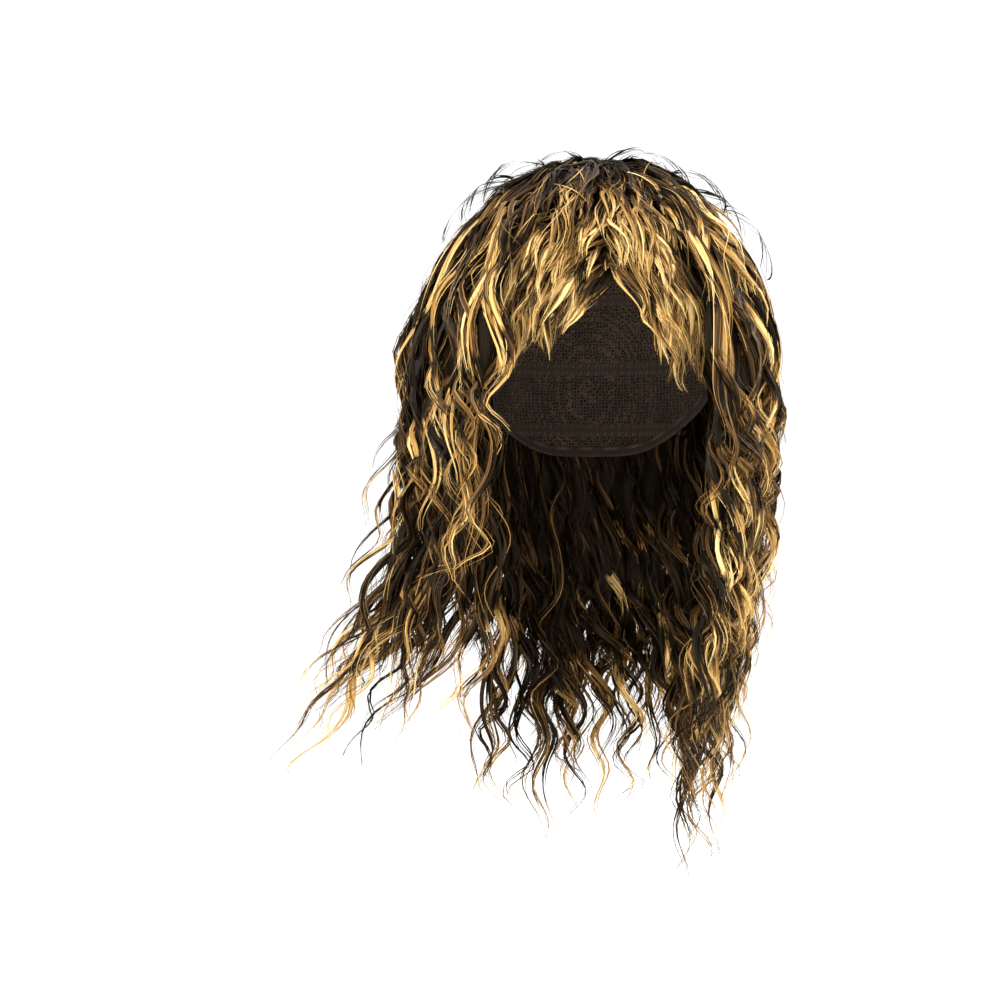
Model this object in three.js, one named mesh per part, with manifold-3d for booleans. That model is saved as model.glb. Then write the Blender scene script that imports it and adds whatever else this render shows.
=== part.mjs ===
// A long curly two-tone wig: a stretch cap that carries rows of wefts, each weft a sewn track with its
// row of wavy locks. Millimetres, +Z up, the face looks along -Y, and left and right are the wearer's.
// The origin is the inside of the cap at the crown, where the wig sits on the top of the head.
import * as THREE from "three";
import { mergeVertices } from "three/addons/utils/BufferGeometryUtils.js";
import Module from "manifold-3d";

const wasm = await Module();
wasm.setup();

// The head that the cap fits: half width, half depth, and height from its widest level to the crown
const headHalfWidth = 77;
const headHalfDepth = 97;
const crownHeight = 108;

// The cap, and the sewn tracks that sit on it
const capWall = 2;
const capRoundSteps = 32;
const capDownSteps = 8;
const seatClearance = 0.5;
const trackThickness = 2.6;
const trackHeight = 7;

// How long the hair is from root to tip: down the back and sides, and over the crown and forehead
const hairLength = { long: 330, short: 104 };

// A lock: its flattened section, its waves, how far down it stays joined to its neighbours, and its tip
const lockWidth = 31;
const lockThickness = 6;
const rootThickness = 2.1;
const lockFill = 0.94;
const valleyShare = 0.1;
const leastWallShare = 0.3;
const waveLength = 76;
const sideWave = 6.5;
const liftWave = 1;
const phaseStep = 0.7;
const layerPhase = 1.9;
const stepLength = 21;
const joinedShare = 0.5;
const freeingSteps = 3;
const taperStart = 0.5;
const tipShare = 0.25;

// The layers of locks lie over each other, closer together on the crown than round the sides. A lock
// rises from its track to its layer over a length that is shorter at the whorl.
const hairClearance = 1;
const layerGap = 1.2;
const crownLiftShare = 0.76;
const riseLength = 40;
const whorlRise = 22;

// Between these depths below the head's widest level the hair spreads or closes in sideways on each
// side, and the left side turns towards the face
const spreadStart = 60;
const spreadDepth = 280;
const leftSpread = -16;
const rightSpread = 116;
const leftTurn = -24;

// The right side is fuller: from this polar angle on, its layers lie further apart by this share
const fullnessStart = 45;
const rightFullness = 0.35;

const degree = Math.PI / 180;
const rootLift = capWall + seatClearance + trackThickness;

// The cap's edge, from the forehead round the ear to the nape
const capEdge = [
  { azimuth: 0, polar: 55 },
  { azimuth: 30, polar: 58 },
  { azimuth: 50, polar: 86 },
  { azimuth: 74, polar: 98 },
  { azimuth: 92, polar: 88 },
  { azimuth: 118, polar: 99 },
  { azimuth: 150, polar: 112 },
  { azimuth: 180, polar: 114 },
];

// Each weft: polar angle of its track, azimuths of its first and last lock (0 the forehead, 90 the left
// ear), locks, layer, which hair length it is cut from, the share of it that its first and last lock
// have, and how far the azimuth of each sweeps on the way down.
const wefts = [
  { name: "nape_weft", polar: 104, from: 131, to: 229, locks: 6, layer: 0, cut: "long",
    first: 0.88, last: 0.81, sweepFirst: 0, sweepLast: 0, tone: "dark" },
  { name: "low_back_weft", polar: 82, from: 129, to: 231, locks: 6, layer: 1, cut: "long",
    first: 0.98, last: 0.9, sweepFirst: 0, sweepLast: 0, tone: "dark" },
  { name: "high_back_weft", polar: 56, from: 129, to: 231, locks: 6, layer: 2, cut: "long",
    first: 1, last: 0.93, sweepFirst: 0, sweepLast: 0, tone: "brown" },
  { name: "left_low_side_weft", polar: 80, from: 54, to: 104, locks: 4, layer: 1, cut: "long",
    first: 1.02, last: 0.96, sweepFirst: 0, sweepLast: 0, tone: "dark" },
  { name: "left_high_side_weft", polar: 54, from: 54, to: 104, locks: 4, layer: 2, cut: "long",
    first: 1.03, last: 0.95, sweepFirst: 0, sweepLast: 0, tone: "brown" },
  { name: "right_low_side_weft", polar: 80, from: -104, to: -54, locks: 4, layer: 1, cut: "long",
    first: 0.72, last: 0.77, sweepFirst: 0, sweepLast: 0, tone: "dark" },
  { name: "right_high_side_weft", polar: 54, from: -104, to: -54, locks: 4, layer: 2, cut: "long",
    first: 0.78, last: 0.87, sweepFirst: 0, sweepLast: 0, tone: "brown" },
  { name: "right_low_fringe_weft", polar: 48, from: -34, to: 7, locks: 5, layer: 0, cut: "short",
    first: 0.76, last: 0.52, sweepFirst: -6, sweepLast: -28, tone: "gold" },
  { name: "left_low_fringe_weft", polar: 48, from: 19, to: 34, locks: 3, layer: 0, cut: "short",
    first: 0.64, last: 0.81, sweepFirst: 14, sweepLast: 6, tone: "gold" },
  { name: "right_high_fringe_weft", polar: 38, from: -28, to: 6, locks: 4, layer: 1, cut: "short",
    first: 0.9, last: 0.64, sweepFirst: -12, sweepLast: -32, tone: "gold" },
  { name: "left_high_fringe_weft", polar: 38, from: 18, to: 28, locks: 2, layer: 1, cut: "short",
    first: 0.75, last: 0.94, sweepFirst: 16, sweepLast: 10, tone: "gold" },
  { name: "right_front_crown_weft", polar: 27, from: -27, to: 4, locks: 3, layer: 2, cut: "short",
    first: 1.04, last: 0.74, sweepFirst: -12, sweepLast: -27, tone: "gold" },
  { name: "left_front_crown_weft", polar: 27, from: 17, to: 27, locks: 2, layer: 2, cut: "short",
    first: 0.85, last: 1.06, sweepFirst: 14, sweepLast: 9, tone: "gold" },
  { name: "crown_weft", polar: 30, from: 48, to: 312, locks: 14, layer: 3, cut: "long",
    first: 0.84, last: 0.72, sweepFirst: 2, sweepLast: -2, tone: "brown" },
  { name: "whorl_weft", polar: 7, from: 0, to: 337.5, locks: 16, layer: 4, cut: "short",
    first: 0.84, last: 0.84, sweepFirst: -6, sweepLast: -6, tone: "brown" },
];

const hairColours = { dark: 0x2a1f17, brown: 0x5a3f22, gold: 0xc6923f };

const hairMaterials = Object.fromEntries(
  Object.entries(hairColours).map(([tone, color]) => [
    tone,
    new THREE.MeshStandardMaterial({ name: `hair_${tone}`, color, roughness: 0.42, metalness: 0 }),
  ]),
);
const capMaterial = new THREE.MeshStandardMaterial({
  name: "cap_net",
  color: 0x1b1714,
  roughness: 0.9,
  metalness: 0,
});

const mix = (a, b, share) => a + (b - a) * share;
const smooth = (share) => THREE.MathUtils.smoothstep(share, 0, 1);

// Middle of a layer of locks, measured outwards from the head
function layerLift(layer) {
  const pitch = lockThickness + 2 * liftWave + layerGap;
  return capWall + hairClearance + liftWave + lockThickness / 2 + layer * pitch;
}

// Share of a lift that is left at a polar angle: less on the crown, all of it round the sides
function liftShare(polar) {
  return mix(crownLiftShare, 1, Math.sin(Math.min(polar, 90) * degree));
}

// Length along the head from the crown to its widest level, at an azimuth
function quarterArc(azimuth) {
  const radius = Math.hypot(
    headHalfWidth * Math.sin(azimuth * degree),
    headHalfDepth * Math.cos(azimuth * degree),
  );
  const sum = radius + crownHeight;
  const root = Math.sqrt((3 * radius + crownHeight) * (radius + 3 * crownHeight));
  return (Math.PI / 4) * (3 * sum - root);
}

// A point at a lift over the head. Past its root's level or the head's widest one, hair hangs by drop.
function overHead(azimuth, polar, lift, drop = 0) {
  const side = Math.sin(azimuth * degree);
  const sideShare = Math.abs(side) ** 3;
  const reached = smooth((polar - fullnessStart) / (90 - fullnessStart));
  const fuller = side < 0 ? rightFullness * sideShare * reached : 0;
  const out = (lift + fuller * Math.max(0, lift - rootLift)) * liftShare(polar);
  const ring = Math.sin(polar * degree);
  const fall = smooth((drop - spreadStart) / (spreadDepth - spreadStart));
  const turned = (azimuth + leftTurn * Math.max(0, side) * fall) * degree;
  const wider = (side < 0 ? rightSpread : leftSpread) * sideShare * fall;
  return new THREE.Vector3(
    (headHalfWidth + out + wider) * ring * Math.sin(turned),
    -(headHalfDepth + out) * ring * Math.cos(turned),
    crownHeight * (Math.cos(polar * degree) - 1) + out * Math.max(0, Math.cos(polar * degree)) - drop,
  );
}

// Slope of the cap's edge at a row of its table, from the rows on both sides, and level at its two ends
function edgeSlope(row) {
  const [before, after] = [capEdge[row - 1], capEdge[row + 1]];
  return before && after ? (after.polar - before.polar) / (after.azimuth - before.azimuth) : 0;
}

// The cap's edge at any azimuth, the same on both sides: a smooth curve through the table's rows
function edgePolar(azimuth) {
  const turned = Math.abs(THREE.MathUtils.euclideanModulo(azimuth + 180, 360) - 180);
  const next = Math.max(1, capEdge.findIndex((row) => row.azimuth >= turned));
  const [low, high] = [capEdge[next - 1], capEdge[next]];
  const width = high.azimuth - low.azimuth;
  const share = (turned - low.azimuth) / width;
  const leaving = edgeSlope(next - 1) * width * share * (1 - share) ** 2;
  const arriving = edgeSlope(next) * width * share ** 2 * (1 - share);
  return mix(low.polar, high.polar, smooth(share)) + leaving - arriving;
}

// Triangles of one side, from point j to point k of a ring, between two rings
function sideFaces(here, there, j, k) {
  return [[here[j], there[j], there[k]], [here[j], there[k], here[k]]];
}

// Triangles that close a ring, all from its first point
function endFaces(ring) {
  return ring.slice(2).map((point, i) => [ring[0], ring[i + 1], point]);
}

// A closed solid through rings of points, either closed at both ends or run all the way round
function loft(rings, allRound = false) {
  const faces = [];
  const spans = allRound ? rings.length : rings.length - 1;
  for (let i = 0; i < spans; i++) {
    const there = rings[(i + 1) % rings.length];
    rings[i].forEach((_, j) => faces.push(...sideFaces(rings[i], there, j, (j + 1) % there.length)));
  }
  if (!allRound) faces.push(...endFaces(rings[0]), ...endFaces(rings.at(-1).toReversed()));
  return solidOf(faces);
}

// Triangles as one solid, without the faces that a pole closes to nothing
function solidOf(faces) {
  const positions = faces.flat().flatMap((point) => point.toArray());
  const shape = new THREE.BufferGeometry();
  shape.setAttribute("position", new THREE.Float32BufferAttribute(positions, 3));
  const geometry = mergeVertices(shape, 1e-3);
  const index = geometry.index.array;
  const kept = [];
  for (let i = 0; i < index.length; i += 3) {
    const [a, b, c] = [index[i], index[i + 1], index[i + 2]];
    if (a !== b && b !== c && c !== a) kept.push(a, b, c);
  }
  const vertProperties = geometry.attributes.position.array;
  const made = (turned) => {
    const order = turned ? kept.toReversed() : kept;
    return new wasm.Manifold(
      new wasm.Mesh({ numProp: 3, vertProperties, triVerts: new Uint32Array(order) }),
    );
  };
  const first = made(false);
  return first.volume() > 0 ? first : made(true);
}

function meshOf(name, solid, material) {
  const { vertProperties, triVerts } = solid.getMesh();
  const geometry = new THREE.BufferGeometry();
  geometry.setAttribute("position", new THREE.Float32BufferAttribute(vertProperties, 3));
  geometry.setIndex([...triVerts]);
  geometry.computeVertexNormals();
  const mesh = new THREE.Mesh(geometry, material);
  mesh.name = name;
  return mesh;
}

// A wall over the head between two lifts, from the crown down to an edge that may vary round it
function dome(edgeAt, innerLift, outerLift, roundSteps, polarSteps) {
  const rings = [];
  for (let i = 0; i < roundSteps; i++) {
    const azimuth = (360 * i) / roundSteps;
    const edge = edgeAt(azimuth);
    const line = (lift) =>
      Array.from({ length: polarSteps + 1 }, (_, j) => overHead(azimuth, (edge * j) / polarSteps, lift));
    rings.push([...line(outerLift), ...line(innerLift).reverse()]);
  }
  return loft(rings, true);
}

// The sewn track that a weft's locks grow from: a flat band along the cap
function track(weft) {
  const inner = capWall + seatClearance;
  const half = (trackHeight / 2 / quarterArc(weft.from)) * 90;
  const reach = lockSpacing(weft) / 4;
  const steps = 2 * weft.locks;
  const rings = [];
  for (let i = 0; i <= steps; i++) {
    const azimuth = mix(weft.from - reach, weft.to + reach, i / steps);
    rings.push([
      overHead(azimuth, weft.polar - half, inner),
      overHead(azimuth, weft.polar + half, inner),
      overHead(azimuth, weft.polar + half, inner + trackThickness),
      overHead(azimuth, weft.polar - half, inner + trackThickness),
    ]);
  }
  return loft(rings);
}

// Degrees of azimuth from one lock of a weft to the next
function lockSpacing(weft) {
  return (weft.to - weft.from) / (weft.locks - 1);
}

// A weft whose locks run all the way round grows from the whorl, where the hair stands up sooner
function atWhorl(weft) {
  return Math.abs(weft.to - weft.from) + Math.abs(lockSpacing(weft)) >= 360;
}

// Steps along each lock of a weft
function stepsOf(weft) {
  return Math.round((Math.max(weft.first, weft.last) * hairLength[weft.cut]) / stepLength);
}

// A lock's middle line: over the head to its widest level, then hanging, with waves to the side
function lockLine(weft, index) {
  const place = index / (weft.locks - 1);
  const length = mix(weft.first, weft.last, place) * hairLength[weft.cut];
  const root = mix(weft.from, weft.to, place);
  const sweep = mix(weft.sweepFirst, weft.sweepLast, place);
  const arc = quarterArc(root);
  const hangPolar = Math.max(90, weft.polar);
  const rootRadius = ringRadius(root, weft.polar, rootLift);
  const phase = phaseStep * index + layerPhase * weft.layer;
  return Array.from({ length: stepsOf(weft) + 1 }, (_, i) => {
    const share = i / stepsOf(weft);
    const along = length * share;
    const polar = Math.min(hangPolar, weft.polar + (along / arc) * 90);
    const drop = Math.max(0, along - ((hangPolar - weft.polar) / 90) * arc);
    const grown = smooth(along / (atWhorl(weft) ? whorlRise : riseLength));
    const beat = (2 * Math.PI * along) / waveLength + phase;
    const lift = mix(rootLift, layerLift(weft.layer), grown) + grown * liftWave * Math.cos(beat);
    const ring = ringRadius(root, polar, lift);
    const radius = Math.max(rootRadius, ring);
    const wave = (grown * sideWave * Math.sin(beat)) / radius / degree;
    const azimuth = root + sweep * smooth(share) + wave;
    const thickness = mix(rootThickness, lockThickness * liftShare(polar), grown);
    return { azimuth, polar, lift, drop, ring, thickness, share };
  });
}

// How far a point over the head lies from the upright axis through the crown
function ringRadius(azimuth, polar, lift) {
  const { x, y } = overHead(azimuth, polar, lift);
  return Math.hypot(x, y);
}

// A place between two places on neighbouring locks
function between(a, b, share = 0.5) {
  return Object.fromEntries(Object.keys(a).map((key) => [key, mix(a[key], b[key], share)]));
}

// The place at one step of the lock beside a lock, on side -1 or 1, or null past the end of its weft
function besideLock(weft, lines, index, side, step) {
  const next = index + side;
  if (lines[next]) return lines[next][step];
  if (!atWhorl(weft)) return null;
  const round = lines[(next + weft.locks) % weft.locks][step];
  return { ...round, azimuth: round.azimuth + side * 360 };
}

// The edge of a lock on side -1 or 1: halfway to the lock beside it, and nearer once it hangs free
function lockEdge(weft, lines, index, side, step, joined) {
  const at = lines[index][step];
  const open = { ...at, azimuth: at.azimuth + side * lockSpacing(weft) * lockFill };
  const beside = besideLock(weft, lines, index, side, step) ?? open;
  const meeting = side < 0 ? between(beside, at) : between(at, beside);
  const full = Math.abs(meeting.azimuth - at.azimuth) * degree * meeting.ring;
  if (step <= joined) return { ...meeting, reach: full };
  const freed = smooth((step - joined) / freeingSteps);
  const taper = mix(1, tipShare, smooth((at.share - taperStart) / (1 - taperStart)));
  const reach = mix(full, Math.min(full * lockFill, lockWidth / 2), freed) * taper;
  return { ...between(at, meeting, reach / full), reach };
}

// A lock's section at a step: a ridge on its middle line, and an inner side that stays off the layer below
function lockSection(weft, lines, index, step, joined) {
  const at = lines[index][step];
  const [right, left] = [-1, 1].map((side) => lockEdge(weft, lines, index, side, step, joined));
  const point = (place, out) =>
    overHead(place.azimuth, place.polar, place.lift + out * place.thickness, place.drop);
  const inner = (place) => {
    const dip = place.reach ** 2 / (2 * place.ring) / place.thickness;
    return point(place, Math.min(dip - 0.5, valleyShare - leastWallShare));
  };
  return [point(right, valleyShare), point(at, 0.5), point(left, valleyShare), inner(left), inner(right)];
}

// A weft's locks as one solid: joined side by side at first, then each on its own
function locksSolid(weft) {
  const lines = Array.from({ length: weft.locks }, (_, i) => lockLine(weft, i));
  const joined = Math.round(stepsOf(weft) * joinedShare);
  const faces = [];
  for (let index = 0; index < weft.locks; index++) {
    const rings = lines[index].map((_, step) => lockSection(weft, lines, index, step, joined));
    const [alone, aloneLeft] = [-1, 1].map((side) => !besideLock(weft, lines, index, side, 0));
    for (let i = 0; i + 1 < rings.length; i++) {
      for (let j = 0; j < 5; j++) {
        const wall = j === 2 ? aloneLeft : j === 4 ? alone : true;
        if (wall || i >= joined) faces.push(...sideFaces(rings[i], rings[i + 1], j, (j + 1) % 5));
      }
    }
    faces.push(...endFaces(rings[0]), ...endFaces(rings.at(-1).toReversed()));
  }
  return solidOf(faces);
}

// A weft: its track, or a round patch at the whorl, with its locks
function weftSolid(weft) {
  const inner = capWall + seatClearance;
  const patch = () => dome(() => weft.polar, inner, inner + trackThickness, weft.locks, 1);
  return (atWhorl(weft) ? patch() : track(weft)).add(locksSolid(weft));
}

const wig = new THREE.Group();
const cap = dome(edgePolar, 0, capWall, capRoundSteps, capDownSteps);
wig.add(meshOf("cap", cap, capMaterial));
for (const weft of wefts) wig.add(meshOf(weft.name, weftSolid(weft), hairMaterials[weft.tone]));

export default wig;
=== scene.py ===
import math

import bpy
import numpy as np
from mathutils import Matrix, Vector


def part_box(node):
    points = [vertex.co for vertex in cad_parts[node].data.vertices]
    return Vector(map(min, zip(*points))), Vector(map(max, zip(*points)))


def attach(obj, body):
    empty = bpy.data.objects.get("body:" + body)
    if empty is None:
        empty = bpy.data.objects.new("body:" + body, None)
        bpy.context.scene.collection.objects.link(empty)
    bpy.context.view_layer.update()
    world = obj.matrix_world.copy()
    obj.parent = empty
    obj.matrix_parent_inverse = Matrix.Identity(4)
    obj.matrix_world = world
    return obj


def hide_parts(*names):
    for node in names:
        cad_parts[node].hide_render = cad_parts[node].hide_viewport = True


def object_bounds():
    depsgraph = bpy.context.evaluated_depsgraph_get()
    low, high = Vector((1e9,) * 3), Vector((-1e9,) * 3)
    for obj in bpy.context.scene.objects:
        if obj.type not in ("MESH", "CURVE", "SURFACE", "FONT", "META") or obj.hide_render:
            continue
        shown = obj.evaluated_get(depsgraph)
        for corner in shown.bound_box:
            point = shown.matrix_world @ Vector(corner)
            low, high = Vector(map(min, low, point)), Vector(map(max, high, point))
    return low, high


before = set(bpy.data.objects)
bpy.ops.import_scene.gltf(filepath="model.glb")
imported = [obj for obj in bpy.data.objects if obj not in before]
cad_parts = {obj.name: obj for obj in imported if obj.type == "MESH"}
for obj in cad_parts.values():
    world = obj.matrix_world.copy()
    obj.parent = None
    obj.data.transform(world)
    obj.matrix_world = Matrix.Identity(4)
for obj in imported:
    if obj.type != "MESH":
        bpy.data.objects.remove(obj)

cad_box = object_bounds()

# The head inside the cap, measured on the cap
cap_low, cap_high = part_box("cap")
CAP_WALL = 0.002
HALF_WIDTH = (cap_high.x - cap_low.x) / 2 - CAP_WALL
HALF_DEPTH = cap_high.y - CAP_WALL
CROWN_HEIGHT = 0.108

# The cap's edge: azimuth from the forehead and polar angle from the crown, the same on both sides
CAP_EDGE = ((0, 55), (30, 58), (50, 86), (74, 98), (92, 88), (118, 99), (150, 112), (180, 114))

# The cap's net, the elastic binding round its edge, and the stitched tapes inside it
CAP_ROUND_STEPS = 129
CAP_DOWN_STEPS = 40
NET_INNER_LIFT = 0.0006
NET_THICKNESS = 0.0009
BINDING_ROUND_STEPS = 241
BINDING_SECTION_STEPS = 13
BINDING_HALF_HEIGHT = 0.0038
BINDING_HALF_THICKNESS = 0.0013
BINDING_ROUNDING = 0.7
TAPE_COLUMNS = 5
TAPE_HALF_HEIGHT = 0.0040
TAPE_LIFT = 0.0005
TAPE_CROWNING = 0.0003
TAPE_EDGE_MARGIN = 1
STITCH_ROWS = (-0.62, 0.62)
STITCH_PITCH = 0.0032
STITCH_HALF_LENGTH = 0.0012
STITCH_SLANT = 0.3
STITCH_RISE = 0.00025
BINDING_STITCHES = 420
BINDING_STITCH_PLACE = 1.5
THREAD_HALF_WIDTH = 0.00028

# Where the hair's roots and its layers lie, measured outwards from the head, what is left of that at the
# crown, and the length over which hair rises into its layer, usually and at the whorl
ROOT_LIFT = 0.0051
FIRST_LIFT = 0.007
LAYER_PITCH = 0.0092
CROWN_LIFT_SHARE = 0.76
RISE_LENGTH = 0.040
WHORL_RISE = 0.022

# How the hanging hair spreads, closes in and turns below the head's widest level, and how much fuller
# the right side is
SPREAD_START = 0.060
SPREAD_DEPTH = 0.280
LEFT_SPREAD = -0.016
RIGHT_SPREAD = 0.112
LEFT_TURN = -24
FULLNESS_START = 45
RIGHT_FULLNESS = 0.35

# Lengths from root to tip, down the back and sides and over the crown, with the step along a lock
HAIR_LENGTH = {"long": 0.330, "short": 0.104}
LOCK_STEP = {"long": 0.0058, "short": 0.0044}

# A lock's waves, which grow tighter and stronger on the way down, and how much they differ
WAVE_LENGTH = {"long": (0.058, 0.047), "short": (0.041, 0.034)}
WAVE_TIGHTENING = 0.26
WAVE_STRETCH = (0.82, 1.25)
SIDE_WAVE = {"long": 0.0072, "short": 0.0046}
LIFT_WAVE = {"long": 0.0058, "short": 0.0030}
CROWN_WAVE_SHARE = 0.62
WAVE_GROWTH = 0.17
ROOT_WAVE_SHARE = 0.2
ROOT_WAVE_GROWTH = 0.04
WAVE_STRENGTHS = (0.45, 1.2)
WAVE_UNEVENNESS = 0.3
UNEVEN_LENGTH = 0.021

# How alike neighbouring locks wave: the phase they share (its size, its turns round the head and its
# start), the spread of their own phases, and the size and stretch of each lock's uneven beat
SHARED_PHASE = ((2.4, 5, 0), (1.5, 11, 1))
PHASE_SPREAD = {"long": 1.7, "short": 0.8}
UNEVEN_BEAT = ((0.6, 2.6), (0.3, 1.7))

# The flick of hanging tips: its size on the right, its most and its spread, its rise, and where it starts
RIGHT_FLICK = 0.012
FLICK_MOST = 1.3
FLICK_SPREAD = 0.003
FLICK_RISE = 0.45
FLICK_START, FLICK_REACH = 0.68, 0.32

# Loose locks in the upper layers' hanging hair, elsewhere and on the right side: their share, how far
# they stand off and over what drop, and how much of that is left at their tips. None hangs beside the
# face or on the left side.
LOOSE_LOCK_SHARE = (0.07, 0.22)
LOOSE_LOCK_LIFT = (0.013, 0.022)
LOOSE_LOCK_DROP = 0.09
LOOSE_TIP_SHARE = 0.35
LOOSE_TIP_START = 1.2
UPPER_LAYER = 2
LOOSE_LOCK_TURN = 62
LEFT_SIDE_END = 130
RIGHT_SIDE_SHARE = 0.8

# How far above and below its weft's polar angle a lock may start, in degrees
ROOT_RANGE = {"whorl_weft": (-21, 2), "crown_weft": (-18, 6)}
USUAL_ROOT_RANGE = (-5, 6)

# Behind the ears a weft's first and last locks turn outwards, to meet the next weft's: by how many
# degrees, from which azimuth on, and where along the weft that starts
END_FAN = 11
FAN_AZIMUTH = 95
FAN_START, FAN_REACH = 0.85, 0.15

# How a lock lies: the spread of its sweep, how it wanders on its way, how it rises or lies in its layer
# by its rank, how far its tip lies down, how far down the whorl's locks may lie (over the forehead all of
# them, elsewhere some), and the fewest steps along a lock
SWEEP_SPREAD = 4
WANDER = 2.5
WANDER_LENGTH = 0.06
WANDER_START = 0.09
RANK_RISE = (0.5, -0.35)
RISE_SPREAD = 0.15
TIP_SINK = 0.0045
WHORL_SINK = 0.014
FOREHEAD_SINK = 0.009
FOREHEAD_TURNS = (55, 30)
LEAST_STEPS = 8

# A short way out from the head, which gives the direction outwards
OUTWARD_STEP = 0.001

# The layer of the crown's weft, over the layers of the back and sides
CROWN_LAYER = 3

# A lock's section, what is left of it at the tip, its ribbons of fibres and its single hairs, and where
# in the section they lie and how it twists
LOCK_HALF_WIDTH = {"long": 0.0046, "short": 0.0036}
LOCK_FLATNESS = 0.52
TIP_SHARE = {"long": 0.38, "short": 0.14}
RIBBON_HALF_WIDTH = {"long": 0.00142, "short": 0.00108}
HAIR_HALF_WIDTH = 0.00026
HAIRS_PER_RIBBON = 1.2
HAIR_LOOSENESS = 1.9
RIBBON_CUP = 0.35
SECTION_REACH = (0.25, 1.0)
SECTION_TWIST = 0.5

# How ribbons differ within a lock: how much shorter they are, their phase, how far the lock parts in two
# and from where, and their width. Then where a lock gathers at its root and tapers to its tip, and the
# same for one ribbon's width.
RIBBON_SHORTENING = 0.16
SHORTENING_SHAPE = (1.1, 2.0)
RIBBON_PHASE_SPREAD = 0.16
HAIR_PHASE_SPREAD = 0.5
TIP_PARTING = 0.0035
PARTING_START, PARTING_REACH = 0.45, 0.4
RIBBON_WIDTHS = (0.7, 1.25)
ROOT_GATHER, GATHER_REACH = 0.5, 0.25
TAPER_START, TAPER_REACH = 0.55, 0.45
ROOT_THINNING, THINNING_REACH = 0.35, 0.2
TIP_THINNING, TIP_THINNING_START, TIP_THINNING_REACH = 0.1, 0.6, 0.4

# Tones run from 0, near black, to 1, pale gold. A lock's light part is gold, caramel or dark, its root is
# dark, and its loose hairs lean to a light tone. The last value is caramel's share of what isn't gold.
TONE_LIMITS = (0.002, 0.998)
GOLD_TONES = (0.72, 0.98)
CARAMEL_TONES = (0.40, 0.66)
DARK_TONES = (0.04, 0.28)
ROOT_TONES = (0.0, 0.13)
LOOSE_HAIR_TONE = 0.9
CARAMEL_SHARE = 0.38

# In wefts that run round the head, how much rarer and commoner gold is, and where it is commonest
ROUND_GOLD = (0.70, 2.00)
GOLD_AZIMUTH = 32

# How much rarer gold is among locks of the lengths that end beside the face, and those lengths
MIDDLE_DARKENING = 0.62
MIDDLE_START, MIDDLE_FADE_IN = 0.09, 0.03
MIDDLE_END, MIDDLE_FADE_OUT = 0.235, 0.04

# The left temple's locks are light in patches all along: its azimuth and how far it reaches
TEMPLE_TURN = 66
TEMPLE_REACH = 24

# Lengths of a lock's light tip and dark root. Then the pitch of its light patches, which are partly the
# hair's gold streaks and partly painted highlight where its waves catch light, how they begin and end, where
# they start below its root, and how light they are at most on short locks
LIGHT_TIP = {"long": (0.035, 0.095), "short": (0.024, 0.056)}
DARK_ROOT = (0.012, 0.030)
WHORL_DARK_ROOT = (0.040, 0.064)
PATCH_LENGTH = (0.065, 0.110)
PATCH_LEVEL, PATCH_SOFTNESS = 0.1, 0.5
PATCH_START, PATCH_FADE = 0.030, 0.03
SHORT_PATCHES = 0.8

# How tones differ from ribbon to ribbon and fade in, the painted shade and highlight that follow the waves,
# the share of ribbons that go against their lock's tone, and how far a ribbon spans the streaks
TONE_STAGGER = 0.007
TIP_FADE = 0.016
WAVE_PAINTED_LIGHT = 0.05
TONE_SPREAD = 0.08
AGAINST_SHARE = 0.24
STREAK_REACH = 0.007

# The noise of the fibres: its scales along the tone and across the streaks, and how far it moves a tone
NOISE_SCALES = (3.0, 260.0, 1.0)
NOISE_SHIFT = (-0.22, 0.18)

# The sheet under a weft's locks: its steps, the share of their length that it reaches and how far it
# lies down, usually and at the whorl, and how ragged its lower edge is
SHEET_ROWS = 26
SHEET_LEAST_COLUMNS = 24
USUAL_SHEET = (0.42, 0.002)
WHORL_SHEET = (0.50, 0.012)
RAGGED_EDGE = ((0.22, 61), (0.14, 173))

# Loops that stand off the crown: first and last azimuth and polar angle, and height over the hair
CROWN_LOOPS = (
    (-76, 18, -94, 38, 0.012), (-84, 28, -76, 46, 0.009), (62, 4, 72, 24, 0.010), (44, 10, 88, 30, 0.009),
    (84, 24, 94, 44, 0.011), (96, 32, 82, 52, 0.008), (-30, 6, -80, 20, 0.007), (150, 14, 176, 36, 0.008),
    (200, 12, 216, 34, 0.007), (-60, 34, -86, 54, 0.008), (70, 44, 92, 62, 0.009), (10, 8, 44, 20, 0.007),
)
HAIRS_PER_LOOP = 8
LOOP_START_SPREAD = (1.2, 0.6)
LOOP_END_SPREAD = (2.2, 1.2)
LOOP_HEIGHTS = (0.85, 1.1)
LOOP_WIDTHS = (0.0006, 0.0013)
LOOP_TONE = 0.10

# Fine hairs that cross the crown: polar angles that they start from and run on by, heights and tones
CROWN_STRAYS = 80
STRAY_POLARS = (14, 50)
STRAY_RUNS = (4, 30)
STRAY_TURN = 34
STRAY_HEIGHTS = (0.0005, 0.006)
STRAY_TONES = (0.25, 0.95)

# Steps along a free hair, how far it sways sideways and along in degrees, and its lift over the layer
FREE_HAIR_STEPS = 18
FREE_HAIR_SWAY = (3, 1.2)
FREE_HAIR_LIFT = 0.001

# Locks beside the parting: place along the upper left fringe weft and rank in its cut
PARTING_LOCKS = (
    (-0.47, 1.0), (-0.52, 0.9), (-0.35, 0.35), (-0.46, 0.2), (-0.56, 0.35), (-0.66, 0.25), (-0.78, 0.3),
)

# The power that a lock's rank in its cut is drawn with: the lower, the more locks are long
RANK_POWER = 0.7

# How far the floor lies below the longest tips of the solids
FLOOR_GAP = 0.07

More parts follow.
